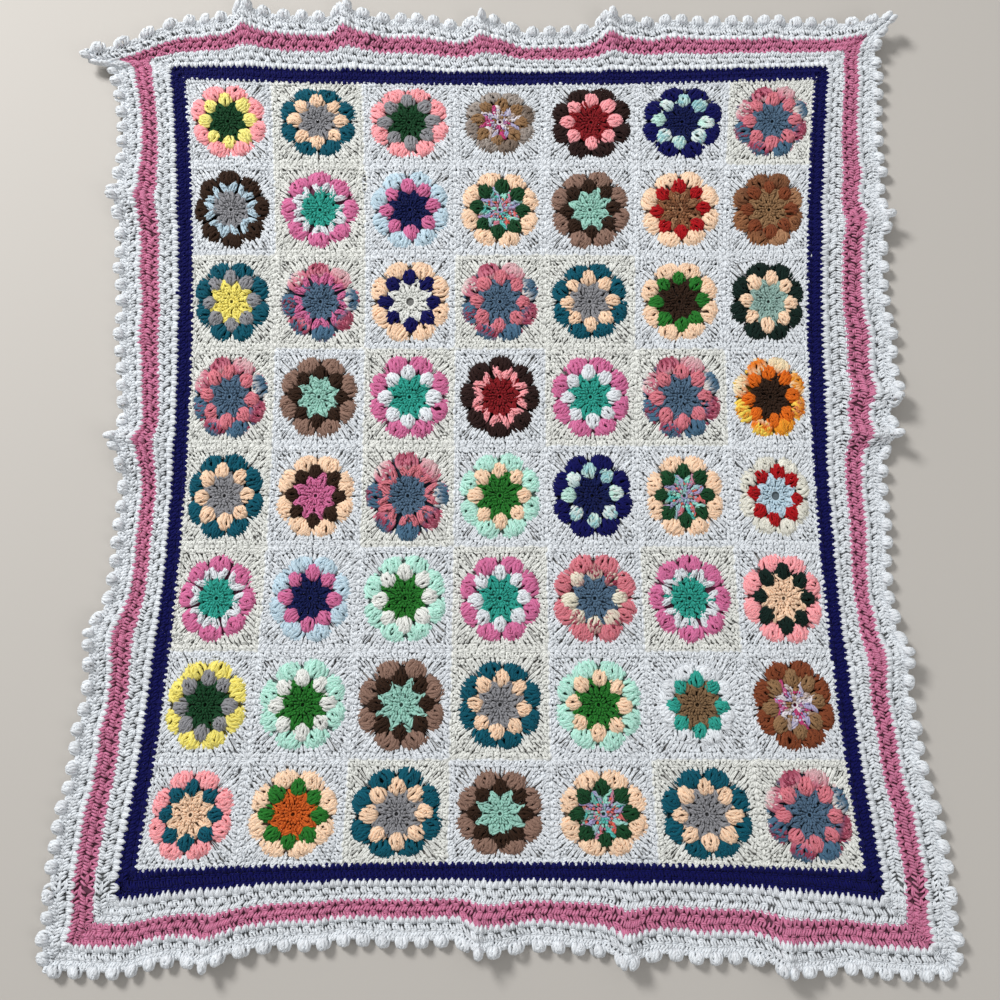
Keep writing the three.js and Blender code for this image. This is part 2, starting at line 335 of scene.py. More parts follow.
# A puffed cluster of posts gathered at both ends. place is its foot, out its direction.
def puff(skein, place, out, size, yarn, run, strands=6, crown=3, flecks=9, plump=0.64, foot=0.13):
    length, width, height = size
    out = np.array([math.cos(out), math.sin(out)])
    across = np.array([-out[1], out[0]])
    base = np.asarray(place)[:2]

    def swell(t):
        return np.sin(np.pi * np.clip(foot + (0.86 - foot) * t, 0, 1)) ** 0.75

    def lay(t, u, z, radius, kind):
        side = u * swell(t) * width / 2
        xy = base + (t * length)[..., None] * out + side[..., None] * across
        paths = np.concatenate([xy, z[..., None]], -1)
        skein.append((paths, np.broadcast_to(radius, t.shape), yarn, np.full(len(t), run + kind)))

    def dome(t, u):
        return height * np.sin(np.pi * (0.07 + 0.84 * t)) ** 0.55 * np.sqrt(np.maximum(0.06, 1 - u * u))

    t = np.linspace(0, 1, 6) + np.zeros((strands, 1))
    u = np.linspace(-0.88, 0.88, strands)[:, None] + dice.normal(0, 0.06, (strands, 1))
    u = u + 0.2 * np.sin(t * 6 + dice.uniform(0, 6, (strands, 1))) * (1 - np.abs(u))
    thick = width / strands * plump * (0.66 + 0.34 * swell(t))
    lay(t, u, 2.0 * mm + dome(t, u) + dice.normal(0, 0.5 * mm, (strands, 1)), thick, 0)
    # short strands that cross the puff
    t = dice.uniform(0.08, 0.74, (flecks, 1)) + np.linspace(0, 1, 4) * min(0.3, 6.5 * mm / length)
    slant = dice.choice([-1, 1], (flecks, 1)) * dice.uniform(3, 6, (flecks, 1)) * mm / width * 2
    u = dice.uniform(-0.72, 0.72, (flecks, 1)) + slant * np.linspace(-0.5, 0.5, 4)
    z = 3.4 * mm + dome(t, u) + np.array([-1.8, 0.5, 0.5, -1.8]) * mm
    lay(t, u, z, np.full(t.shape, 1.5 * mm), 0.5)
    if crown:
        u = np.linspace(-0.62, 0.62, crown)[:, None] * np.array([0.8, 1.0, 1.3, 1.45])
        t = np.array([0.66, 0.82, 0.96, 1.06]) - 0.1 * np.abs(u) ** 2
        z = np.array([0.8, 0.72, 0.45, 0.12]) * height + 3 * mm
        lay(t, u, np.broadcast_to(z, t.shape), width / 11 * np.array([0.9, 1.15, 1.1, 0.8]), 0.8)


grain = {
    "spacing": 6.0 * mm,
    "length": 5.6 * mm,
    "radius": 2.15 * mm,
    "jitter": 1.3 * mm,
    "swing": 0.7,  # radians either side of the way out
    "missing": 0.11,
}


# Covers an area with short plump strands that point roughly outwards, as worked yarn shows.
# keep tells which places are inside the area.
def scatter(skein, middle, half, keep, yarn, finer=1.0, height=4.6 * mm):
    spacing = grain["spacing"] * finer
    counts = [int(2 * h / spacing) + 1 for h in half]
    x, y = np.meshgrid(*[np.linspace(-h, h, n) for h, n in zip(half, counts)])
    x = x + (np.arange(len(y)) % 2)[:, None] * spacing / 2
    at = np.stack([x.ravel(), y.ravel()], 1) + dice.uniform(-1, 1, (x.size, 2)) * grain["jitter"] * finer
    at = at[keep(at) & (dice.random(len(at)) > grain["missing"])]
    n = len(at)
    heading = np.arctan2(at[:, 1], at[:, 0]) + dice.uniform(-1, 1, n) * grain["swing"]
    along = np.stack([np.cos(heading), np.sin(heading)], 1)
    across = np.stack([-along[:, 1], along[:, 0]], 1)
    t = np.linspace(-0.5, 0.5, 4)
    bow = np.array([-0.5, 0.5, 0.5, -0.5]) * dice.uniform(-1, 1, (n, 1)) * mm
    length = grain["length"] * finer * dice.uniform(0.8, 1.2, n)
    xy = at[:, None] + along[:, None] * (t * length[:, None])[..., None]
    xy = xy + across[:, None] * bow[..., None]
    z = height + dice.normal(0, 0.5 * mm, (n, 1)) + np.array([-2.4, 0.0, 0.0, -2.4]) * mm
    paths = np.concatenate([xy + middle, z[..., None]], -1)
    radii = grain["radius"] * finer * dice.uniform(0.85, 1.12, (n, 1)) * np.array([0.8, 1.08, 1.08, 0.8])
    skein.append((paths, radii, yarn, np.arange(n) * 0.4))


smallFlowers = {(0, 3): 0.9, (4, 6): 0.95, (6, 5): 0.93}  # row and column from 0
tails = {"share": 0.3, "length": 20 * mm, "radius": 1.2 * mm}  # loose yarn ends
flower = {
    "ring": 4.5 * mm,  # centre ring
    "wideRing": 1.9,  # how many times wider it is on the two open ones
    "firstRound": 15 * mm,
    "disc": (27 * mm, 38 * mm),  # the centre's edge at a bobble and between two
    "bobble": (26 * mm, 25 * mm, 8.0 * mm),
    "bobbleFoot": 27 * mm,
    "petalFoot": 41 * mm,
    "petal": 68 * mm,
    "valley": 60 * mm,
    "petalSize": (38 * mm, 5.8 * mm),
    "joinRound": 7 * mm,  # depth of the last round at the seams
    "stitchesPerSide": 16,
    "slit": (73 * mm, 94 * mm, 2.1 * mm),  # the corner slits' ends and half width
    "slitAngles": (-16, -6, 5, 15),  # degrees from the corner
}


# The scalloped outline of the eight petals
def petalEdge(angle, turn, shift):
    phase = np.cos((angle - turn - shift) * 8)
    lobe = np.clip((phase + 1) / 2, 0, 1) ** 0.45
    return flower["valley"] + (flower["petal"] - flower["valley"]) * lobe


# Points round a square: share runs from 0 to 4, one side after another from the right side's foot
def perimeter(share, inset):
    side = np.floor(share).astype(int) % 4
    t = (share - np.floor(share)) * 2 - 1
    hx, hy = squareHalf - inset
    x = np.choose(side, [np.full_like(t, hx), -t * hx, np.full_like(t, -hx), t * hx])
    y = np.choose(side, [t * hy, np.full_like(t, hy), -t * hy, np.full_like(t, -hy)])
    return np.stack([x, y, np.zeros_like(x)], -1)


# The bearing from a square's middle of a stitch on its perimeter
def insideAngle(share):
    side = np.floor(share)
    t = (share - side) * 2 - 1
    return np.radians(90 * side + 45 * np.clip(t * 1.1, -1, 1) * (1 - 0.06 * (1 - np.abs(t))))


eighth = math.pi / 4


# A square's yarns and place, and the unevenness of the hand that made it
def squarePlan(row, column):
    words = squareYarns[row][column].split()
    across, along = column - (throw["columns"] - 1) / 2, (throw["rows"] - 1) / 2 - row
    return {
        "yarns": words[:4],
        "openV": "v" in words[4:],
        "middle": np.array([across * 2 * squareHalf[0], along * 2 * squareHalf[1]]),
        "turn": math.radians(dice.uniform(-5, 5)),
        "size": (1 + dice.uniform(-0.03, 0.02)) * smallFlowers.get((row, column), 1),
        "ring": flower["ring"] * (flower["wideRing"] if "o" in words[4:] else 1),
        "petalShift": 0.0 if "v" in words[4:] else eighth / 2,
    }


# Eight posts, then two more to each bobble, with points between the bobbles
def workDisc(skein, plan):
    yarn, middle, turn = plan["yarns"][0], plan["middle"], plan["turn"]
    first = flower["firstRound"]
    a = turn + np.arange(9) * eighth + 0.3
    cells = roundCells(ring(plan["ring"], a, middle, 0.6 * mm), ring(first, a, middle, 1.4 * mm))
    work(skein, cells, "fat", yarn, thick=1.1)
    a = turn + np.arange(17) * eighth / 2
    edge = np.where(np.arange(17) % 2 == 0, *flower["disc"]) * plan["size"]
    if plan["openV"]:
        edge = np.roll(edge[:-1], 1)[np.arange(17) % 16]
    cells = roundCells(ring(first - 1 * mm, a, middle, 0.6 * mm), ring(edge, a, middle, 1.2 * mm))
    work(skein, cells, "short", yarn, thick=1.05, wobble=0.06)
    work(skein, cells, "chain", yarn, thick=1.0, wobble=0.1)

    def onDisc(at):
        radius, bearing = np.hypot(*at.T), np.arctan2(at[:, 1], at[:, 0])
        point = (np.cos((bearing - turn) * 8) * (1 if plan["openV"] else -1) + 1) / 2
        low, high = flower["disc"]
        reach = (low + (high - low) * point**2) * plan["size"] - 3.5 * mm
        return (radius > plan["ring"] + 3 * mm) & (radius < reach)

    scatter(skein, middle, [flower["disc"][1]] * 2, onDisc, yarn, finer=0.84, height=5.8 * mm)
    a = np.linspace(0, 2 * math.pi, 13) + dice.uniform(0, 6)
    loop = ring(plan["ring"], a, middle, 3.4 * mm)
    skein.append((loop[None], np.full((1, 13), 1.7 * mm), yarn, np.zeros(1)))


# Bobbles, or open V clusters in their place
def workBobbles(skein, plan):
    yarn, size = plan["yarns"][1], plan["size"]
    for k in range(8):
        angle = plan["turn"] + k * eighth + dice.normal(0, 0.04)
        length, width, height = np.array(flower["bobble"]) * size * dice.uniform(0.93, 1.06)
        foot = ring(flower["bobbleFoot"] * size, angle, plan["middle"])
        if plan["openV"]:
            for half in (-1, 1):
                puff(skein, foot, angle + half * 0.55, (length * 1.08, width * 0.46, height * 0.75),
                     yarn, 8 + k, strands=4, crown=2, flecks=5)
        else:
            puff(skein, foot, angle, (length, width, height), yarn, 8 + k)


def workPetals(skein, plan):
    yarn, middle, turn, size = plan["yarns"][2], plan["middle"], plan["turn"], plan["size"]
    for k in range(8):
        angle = turn + plan["petalShift"] + k * eighth + dice.normal(0, 0.02)
        foot = ring(flower["petalFoot"] * size, angle, middle)
        reach = flower["petal"] * size - flower["petalFoot"] + dice.normal(0, 0.8 * mm)
        puff(skein, foot, angle, (reach, *flower["petalSize"]), yarn, 16 + k * 3,
             strands=8, crown=0, flecks=18, plump=0.66, foot=0.2)
        fan = angle + np.linspace(-1, 1, 7) * 0.36
        edge = petalEdge(fan, turn, plan["petalShift"]) * size
        cells = roundCells(ring(edge - 9 * mm, fan, middle, 0.6 * mm),
                           ring(edge, fan, middle, 0.4 * mm))
        work(skein, cells, "chain", yarn, run=16 + k * 3, thick=1.1, wobble=0.08)


# The round that makes the flower square, and the round that joins it to its neighbours
def workGround(skein, plan):
    yarn, middle, turn, size = plan["yarns"][3], plan["middle"], plan["turn"], plan["size"]
    per = flower["stitchesPerSide"]
    share = np.arange(4 * per + 1) / per
    angle = insideAngle(share)
    inner = ring(petalEdge(angle, turn, plan["petalShift"]) * size - 1.5 * mm, angle, middle, 1.8 * mm)
    lift = np.array([*middle, 0])
    outer = perimeter(share, flower["joinRound"]) + lift
    cells = roundCells(inner, outer)
    place = np.arange(len(cells)) % per
    corners = (place == 0) | (place == per - 1)  # thinner there, under the slits
    work(skein, cells[~corners], "short", yarn, thick=0.95, wobble=0.08)
    work(skein, cells[corners], "short", yarn, thick=0.6, wobble=0.08)
    slitTurn = dice.uniform(-3, 3)

    def onGround(at):
        radius, bearing = np.hypot(*at.T), np.arctan2(at[:, 1], at[:, 0])
        free = radius > petalEdge(bearing, turn, plan["petalShift"]) * size + 1.5 * mm
        free &= np.abs(at[:, 0]) < squareHalf[0] - 6 * mm
        free &= np.abs(at[:, 1]) < squareHalf[1] - 6 * mm
        near, far, half = flower["slit"]
        for corner in (45, 135, 225, 315):
            for lean in flower["slitAngles"]:
                away = bearing - math.radians(corner + lean + slitTurn)
                ahead = np.cos(bearing - math.radians(corner + lean)) > 0
                inSlit = (np.abs(radius * np.sin(away)) < half) & (radius > near) & (radius < far)
                free &= ~(ahead & inSlit)
        return free

    scatter(skein, middle, squareHalf - 2 * mm, onGround, yarn)
    work(skein, cells, "chain", yarn, wobble=0.12)
    cells = roundCells(outer, perimeter(share, 0.3 * mm) + lift)
    work(skein, cells, "vee", yarn, wobble=0.08)
    work(skein, cells, "chain", yarn, wobble=0.08)


def leaveTail(skein, plan):
    bearing, bend = dice.uniform(0, 2 * math.pi), dice.uniform(-0.3, 0.3)
    t = np.linspace(0, 1, 8)
    reach = flower["valley"] * plan["size"] + t * tails["length"]
    tail = ring(reach, bearing + bend * t**2, plan["middle"])
    tail[:, 2] = (5 + 4 * np.sin(np.pi * np.minimum(1, t * 1.2))) * mm
    skein.append((tail[None], np.full((1, 8), tails["radius"]), plan["yarns"][3], np.zeros(1)))


# The strands of one flower square, from its centre ring out to its seam
def squareSkein(plan):
    skein = []
    for part in (workDisc, workBobbles, workPetals, workGround):
        part(skein, plan)
    if dice.random() < tails["share"]:
        leaveTail(skein, plan)
    return skein


# Spins the strands of a skein into one mesh of round yarns
def spin(name, skein):
    corners, loops, sizes, slots = [], [], [], []
    plies, tints, runsAll, maps = [], [], [], []
    yarns = sorted({yarn for _, _, yarn, _ in skein})
    total = sum(len(paths) for paths, _, _, _ in skein)
    grid = math.ceil(math.sqrt(total))
    base = first = 0
    for paths, radii, yarn, runs in skein:
        sides = 4 if paths.shape[1] == 4 else 5
        angle = np.arange(sides) * 2 * math.pi / sides + math.pi / 2
        paths = drape(paths)
        n, p = paths.shape[:2]
        along = np.gradient(paths, axis=1)
        along /= np.linalg.norm(along, axis=2, keepdims=True) + 1e-12
        side = np.cross(along, [0.0, 0.0, 1.0])
        side /= np.linalg.norm(side, axis=2, keepdims=True) + 1e-9
        up = np.cross(side, along)
        taper = np.ones(p)
        taper[[0, -1]] = 0.62
        r = (radii * taper)[:, :, None, None]
        c, s = np.cos(angle)[None, None, :, None], np.sin(angle)[None, None, :, None]
        verts = paths[:, :, None] + r * (c * side[:, :, None] + s * up[:, :, None])
        verts[..., 2] = np.maximum(verts[..., 2], 0.0002)
        corners.append(verts.reshape(-1, 3))
        ids = base + np.arange(n * p * sides).reshape(n, p, sides)
        nextIds = np.roll(ids, -1, 2)
        quads = np.stack([ids[:, :-1], nextIds[:, :-1], nextIds[:, 1:], ids[:, 1:]], -1)
        loops.append(quads[..., ::-1].reshape(-1))
        loops.append(np.stack([ids[:, 0], ids[:, -1][:, ::-1]], 1).reshape(-1))
        count = n * (p - 1) * sides
        sizes += [np.full(count, 4), np.full(2 * n, sides)]
        slots.append(np.full(count + 2 * n, yarns.index(yarn)))
        length = np.linalg.norm(np.diff(paths, axis=1), axis=2).cumsum(1)
        length = np.concatenate([np.zeros((n, 1)), length], 1)
        ply = np.zeros((n, p, sides, 3))
        ply[..., 0], ply[..., 1], ply[..., 2] = np.cos(angle), np.sin(angle), length[:, :, None]
        plies.append(ply.reshape(-1, 3))
        tints.append(np.repeat(dice.uniform(-1, 1, n), p * sides))
        runsAll.append((runs[:, None, None] + length[:, :, None] * 20 + np.zeros(sides)).reshape(-1))
        # each strand has its own place on the map, unrolled
        strand = first + np.arange(n)
        u0, v0 = (strand % grid) / grid, (strand // grid) / grid
        u = (0.08 + 0.84 * np.arange(sides + 1) / sides) / grid
        v = (0.06 + 0.8 * np.arange(p) / (p - 1)) / grid
        uu = np.broadcast_to(u0[:, None, None] + u[None, None], (n, p, sides + 1))
        vv = np.broadcast_to(v0[:, None, None] + v[None, :, None], (n, p, sides + 1))
        at = np.stack([uu, vv], -1)
        corner = np.stack([at[:, :-1, :-1], at[:, :-1, 1:], at[:, 1:, 1:], at[:, 1:, :-1]], 3)
        maps.append(corner[:, :, :, ::-1].reshape(-1, 2))
        cap = np.stack([0.5 + 0.3 * np.cos(angle), 0.93 + 0.04 * np.sin(angle)], 1) / grid
        caps = np.stack([u0, v0], 1)[:, None, None] + cap[None, None] + np.zeros((1, 2, 1, 1))
        maps.append(caps.reshape(-1, 2))
        base += n * p * sides
        first += n
    mesh = meshFrom(name, np.concatenate(corners), np.concatenate(loops), np.concatenate(sizes),
                    np.concatenate(slots), [yarnMaterial(yarn) for yarn in yarns])
    giveAttributes(mesh, np.concatenate(plies), np.concatenate(tints), np.concatenate(runsAll),
                   np.concatenate(maps))
    return linked(name, mesh)


def meshFrom(name, verts, loops, sizes, slots, materials):
    mesh = bpy.data.meshes.new(name)
    mesh.vertices.add(len(verts))
    mesh.vertices.foreach_set("co", verts.astype(np.float32).ravel())
    mesh.loops.add(len(loops))
    mesh.loops.foreach_set("vertex_index", loops.astype(np.int32))
    mesh.polygons.add(len(sizes))
    starts = np.concatenate([[0], np.cumsum(sizes)[:-1]])
    mesh.polygons.foreach_set("loop_start", starts.astype(np.int32))
    mesh.polygons.foreach_set("material_index", slots.astype(np.int32))
    mesh.polygons.foreach_set("use_smooth", np.ones(len(sizes), bool))
    for material in materials:
        mesh.materials.append(material)
    mesh.update(calc_edges=True)
    return mesh


# ply: the place round and along a strand. tint: one shade a strand. run: the place along the yarn.
def giveAttributes(mesh, ply, tint, run, uv):
    given = (("ply", "FLOAT_VECTOR", "vector", ply), ("tint", "FLOAT", "value", tint),
             ("run", "FLOAT", "value", run))
    for name, kind, field, values in given:
        layer = mesh.attributes.new(name, kind, "POINT")
        layer.data.foreach_set(field, values.astype(np.float32).ravel())
    mesh.uv_layers.new(name="OFBake").uv.foreach_set("vector", uv.astype(np.float32).ravel())


def linked(name, mesh):
    piece = bpy.data.objects.new(name, mesh)
    bpy.context.scene.collection.objects.link(piece)
    return piece


# The thin backing cloth of a piece, coloured in painted shade: rows of points, of which keep says which
# faces are there
def layWeb(name, points, keep, yarnOf):
    rows, columns = points.shape[:2]
    verts = drape(points).reshape(-1, 3)
    ids = np.arange(rows * columns).reshape(rows, columns)
    right = np.roll(ids, -1, 1)
    quads = np.stack([ids[:-1], right[:-1], right[1:], ids[1:]], -1)[keep]
    yarns = sorted(set(np.unique(yarnOf)))
    slots = np.searchsorted(yarns, yarnOf[keep])
    used = np.unique(quads)
    quads = np.searchsorted(used, quads)
    verts = verts[used]
    # the cloth takes the painted-shade materials, so the gaps between the stitches show painted shade
    mesh = meshFrom(name, verts, quads.ravel(), np.full(len(quads), 4), slots,
                    [paintedShadeMaterial(yarn) for yarn in yarns])
    return linked(name, mesh)


squareBacking = {
    # the first circle closes the centre ring's hole with the painted-shade cloth
    "circles": [0.5 * mm, 12 * mm, 22 * mm, 30 * mm, 36 * mm, 42 * mm, 48 * mm],
    "floor": 1.0 * mm,  # its height between the bobbles
    "bobbles": (40 * mm, 12 * mm, 5.0 * mm),  # where it lifts under them, how widely, how far
    "heights": (1.6 * mm, 1.8 * mm, 2.4 * mm),  # at the petals, the last round and the seam
    "bar": 0.17,  # half width of the cloth between two eyelets, in stitches
}


def squareWeb(name, plan):
    centre, bobble, petal, ground = plan["yarns"]
    middle, turn = plan["middle"], plan["turn"]
    per = flower["stitchesPerSide"]
    k = np.arange(4 * per)
    share = np.stack([k - squareBacking["bar"], k + squareBacking["bar"]], 1).reshape(-1) / per % 4
    angle = insideAngle(share)
    edge = petalEdge(angle, turn, plan["petalShift"]) * plan["size"] - 2.5 * mm
    lift = np.array([*middle, 0])
    rows = []
    bump = np.clip(np.cos((angle - turn) * 8), 0, 1) ** 0.7
    place, spread, rise = squareBacking["bobbles"]
    for radius in squareBacking["circles"]:
        points = ring(radius, angle, middle)
        points[:, 2] = rise * bump * np.clip(1 - ((radius - place) / spread) ** 2, 0, 1)
        points[:, 2] += squareBacking["floor"]
        rows.append(points)
    inner = ring(edge, angle, middle, squareBacking["heights"][0])
    outer = perimeter(share, flower["joinRound"]) + lift
    rim = perimeter(share, 0.2 * mm) + lift
    outer[:, 2], rim[:, 2] = squareBacking["heights"][1:]
    rows += [inner, inner + (outer - inner) * 0.22, inner + (outer - inner) * 0.78, outer, rim]
    points = np.stack(rows)
    columns = len(share)
    keep = np.ones((len(rows) - 1, columns), bool)
    keep[8, np.arange(columns) % 2 == 0] = False
    yarnOf = np.full(keep.shape, ground, dtype=object)
    yarnOf[:3] = centre
    yarnOf[3:7] = petal
    yarnOf[3:6][:, bump > 0.35] = bobble
    return layWeb(name, points, keep, yarnOf)


def linear(shade):
    c = np.array(shade) / 255
    return [*np.where(c <= 0.04045, c / 12.92, ((c + 0.055) / 1.055) ** 2.4), 1.0]


def group(name, inputs, outputs):
    tree = bpy.data.node_groups.new(name, "ShaderNodeTree")
    for kind, label, value in inputs:
        tree.interface.new_socket(label, in_out="INPUT", socket_type=kind).default_value = value
    for kind, label in outputs:
        tree.interface.new_socket(label, in_out="OUTPUT", socket_type=kind)
    return tree, tree.nodes.new("NodeGroupInput"), tree.nodes.new("NodeGroupOutput")


def attribute(tree, name):
    node = tree.nodes.new("ShaderNodeAttribute")
    node.attribute_name = name
    return node


def maths(tree, operation, a, b=None):
    node = tree.nodes.new("ShaderNodeMath")
    node.operation = operation
    for socket, value in zip(node.inputs, (a, b)):
        if value is None:
            continue
        if isinstance(value, (int, float)):
            socket.default_value = value
        else:
            tree.links.new(value, socket)
    return node.outputs[0]


# Plies wound round a strand, as a height
def makePlyTwist():
    tree, ins, outs = group(
        "plyTwist",
        [("NodeSocketFloat", "Plies", 3.0), ("NodeSocketFloat", "Turns", 900.0)],
        [("NodeSocketFloat", "Height")])
    ply = attribute(tree, "ply")
    split = tree.nodes.new("ShaderNodeSeparateXYZ")
    tree.links.new(ply.outputs["Vector"], split.inputs[0])
    around = maths(tree, "ARCTAN2", split.outputs[1], split.outputs[0])
    wound = maths(tree, "ADD", maths(tree, "MULTIPLY", around, ins.outputs["Plies"]),
                  maths(tree, "MULTIPLY", split.outputs[2], ins.outputs["Turns"]))
    height = maths(tree, "ABSOLUTE", maths(tree, "SINE", maths(tree, "MULTIPLY", wound, 0.5)))
    tree.links.new(height, outs.inputs["Height"])
    return tree


# A yarn's colour with its strand to strand and fibre variation, and painted shade between the plies
def makeYarnShade():
    tree, ins, outs = group(
        "yarnShade",
        [("NodeSocketColor", "Color", (1, 1, 1, 1)), ("NodeSocketFloat", "Height", 1.0),
         ("NodeSocketFloat", "Variation", 0.12)],
        [("NodeSocketColor", "Color")])
    tint = attribute(tree, "tint")
    noise = tree.nodes.new("ShaderNodeTexNoise")
    noise.inputs["Scale"].default_value = 420
    noise.inputs["Detail"].default_value = 2
    place = tree.nodes.new("ShaderNodeTexCoord")
    tree.links.new(place.outputs["Object"], noise.inputs["Vector"])
    speck = maths(tree, "SUBTRACT", noise.outputs["Fac"], 0.5)
    vary = maths(tree, "ADD", tint.outputs["Fac"], speck)
    vary = maths(tree, "MULTIPLY", vary, ins.outputs["Variation"])
    # painted shade: the colour is darker where the ply height is low, in the grooves between plies
    ply = maths(tree, "MULTIPLY", maths(tree, "SUBTRACT", ins.outputs["Height"], 0.6), 0.22)
    factor = maths(tree, "ADD", maths(tree, "ADD", vary, ply), 1.0)
    scale = tree.nodes.new("ShaderNodeVectorMath")
    scale.operation = "SCALE"
    tree.links.new(ins.outputs["Color"], scale.inputs[0])
    tree.links.new(factor, scale.inputs["Scale"])
    tree.links.new(scale.outputs[0], outs.inputs["Color"])
    return tree


plyTwist, yarnShade = makePlyTwist(), makeYarnShade()
madeYarns = {}
yarnLook = {
    "roughness": 0.82,
    "sheen": 0.03,
    "sheenRoughness": 0.5,
    "specular": 0.22,
    "bump": 0.6,
    "bumpDepth": 0.6 * mm,
    "colourChanges": 0.45,  # how often a variegated yarn changes
    "paintedShade": 0.22,  # painted shade: the backing's colour as a share of its yarn's colour
}


def yarnMaterial(yarn):
    if yarn in madeYarns:
        return madeYarns[yarn]
    material = bpy.data.materials.new(f"{yarn}Yarn")
    material.use_nodes = True
    tree = material.node_tree
    shader = tree.nodes["Principled BSDF"]
    shader.inputs["Roughness"].default_value = yarnLook["roughness"]
    shader.inputs["Sheen Weight"].default_value = yarnLook["sheen"]
    shader.inputs["Sheen Roughness"].default_value = yarnLook["sheenRoughness"]
    shader.inputs["Specular IOR Level"].default_value = yarnLook["specular"]
    twist = tree.nodes.new("ShaderNodeGroup")
    twist.node_tree = plyTwist
    shade = tree.nodes.new("ShaderNodeGroup")
    shade.node_tree = yarnShade
    tree.links.new(twist.outputs["Height"], shade.inputs["Height"])
    shades = yarnShades[yarn]
    if isinstance(shades, list):
        run = attribute(tree, "run")
        noise = tree.nodes.new("ShaderNodeTexNoise")
        noise.noise_dimensions = "1D"
        noise.inputs["Scale"].default_value = yarnLook["colourChanges"]
        noise.inputs["Detail"].default_value = 0
        tree.links.new(run.outputs["Fac"], noise.inputs["W"])
        ramp = tree.nodes.new("ShaderNodeValToRGB")
        ramp.color_ramp.interpolation = "EASE"
        elements = ramp.color_ramp.elements
        spots = np.linspace(0.3, 0.7, len(shades))
        while len(elements) < len(shades):
            elements.new(0.5)
        for element, spot, tone in zip(elements, spots, shades):
            element.position = spot
            element.color = linear(tone)
        tree.links.new(noise.outputs["Fac"], ramp.inputs["Fac"])
        tree.links.new(ramp.outputs["Color"], shade.inputs["Color"])
    else:
        shade.inputs["Color"].default_value = linear(shades)
    tree.links.new(shade.outputs["Color"], shader.inputs["Base Color"])
    bump = tree.nodes.new("ShaderNodeBump")
    bump.inputs["Strength"].default_value = yarnLook["bump"]
    bump.inputs["Distance"].default_value = yarnLook["bumpDepth"]
    tree.links.new(twist.outputs["Height"], bump.inputs["Height"])
    tree.links.new(bump.outputs["Normal"], shader.inputs["Normal"])
    madeYarns[yarn] = material
    return material


# The backing's yarn, darkened as painted shade for the shade deep between the stitches
def paintedShadeMaterial(yarn):
    label = f"{yarn}PaintedShadeBacking"
    if label not in madeYarns:
        material = bpy.data.materials.new(label)
        material.use_nodes = True
        shader = material.node_tree.nodes["Principled BSDF"]
        shades = yarnShades[yarn]
        shade = linear(shades[0] if isinstance(shades, list) else shades)
        # painted shade: the yarn's colour scaled down to a flat dark colour
        paintedShade = [yarnLook["paintedShade"] * c for c in shade[:3]]
        shader.inputs["Base Color"].default_value = [*paintedShade, 1.0]
        shader.inputs["Roughness"].default_value = 0.9
        shader.inputs["Specular IOR Level"].default_value = 0.2
        madeYarns[label] = material
    return madeYarns[label]


def settle(piece, node):
    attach(piece, "root")
    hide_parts(node)


print("squares")
for row in range(throw["rows"]):
    for column in range(throw["columns"]):
        node = squareNode(row, column)
        plan = squarePlan(row, column)
        stitches = spin(f"{node}_stitches", squareSkein(plan))
        settle(stitches, node)
        web = squareWeb(f"{node}_web", plan)
        settle(web, node)

sideMakers = {
    "right": lambda s, o: (halfWidth + o, s),
    "top": lambda s, o: (-s, halfLength + o),
    "left": lambda s, o: (-halfWidth - o, -s),
    "bottom": lambda s, o: (s, -halfLength - o),
}
bandShape = {
    "stitchWidth": 9.2 * mm,
    "start": 0.3 * mm,  # from the panel's edge
    "gap": 0.4 * mm,  # between two bands
    "cornerReach": 0.22,  # how far the corner stitches bulge
    "cloth": 1.8 * mm,  # the backing's height
}
edging = {
    "spacing": 28 * mm,
    "ball": (17 * mm, 17.5 * mm, 10.5 * mm),
    "bump": (9 * mm, 13 * mm, 3.5 * mm),  # between two balls
    "overlap": (4 * mm, 5 * mm),  # how far balls and bumps reach into the last round
}


def sidePoints(side, along, offset, height=0.0):
    x, y = sideMakers[side](along, offset)
    x, y = np.broadcast_arrays(np.asarray(x, float), np.asarray(y, float))
    return np.stack([x, y, np.full(x.shape, height)], -1)


def halfSide(side):
    return halfLength if side in ("left", "right") else halfWidth


# The cells of one round along one side, with the three stitches that turn its corner
def bandRound(side, inner, outer):
    half = halfSide(side) + inner
    count = round(2 * half / bandShape["stitchWidth"])
    along = np.linspace(-half, half, count + 1)
    straight = roundCells(sidePoints(side, along, inner), sidePoints(side, along, outer))
    turned = np.sin(np.linspace(0, 1, 4) * math.pi / 2)
    depth = outer - inner
    reach = depth * (1 + bandShape["cornerReach"] * np.sin(np.linspace(0, math.pi, 4)))
    near = sidePoints(side, half + 0.15 * depth * turned, inner)
    far = sidePoints(side, half + reach * turned, inner + reach * turned[::-1])
    return np.concatenate([straight, roundCells(near, far)])


def bandSide(band, side, offset, depth):
    skein = []
    for k, stitch in enumerate(band["rounds"]):
        cells = bandRound(side, offset + k * depth, offset + (k + 1) * depth)
        work(skein, cells, stitch, band["yarn"], wobble=0.06)
        place = np.arange(len(cells))
        corner = (place < 3) | (place > len(cells) - 4)
        lacy = (place % 2 == 1) & (k + 1 in band["holes"]) & ~corner
        work(skein, cells[~lacy], "chain", band["yarn"], thick=0.95)
        if k not in band["holes"]:
            work(skein, cells, "filler", band["yarn"])
        work(skein, cells[corner], "wrap", band["yarn"], thick=1.3, wobble=0.1)
        work(skein, cells[corner], "filler", band["yarn"], thick=1.2, wobble=0.1)
    return skein


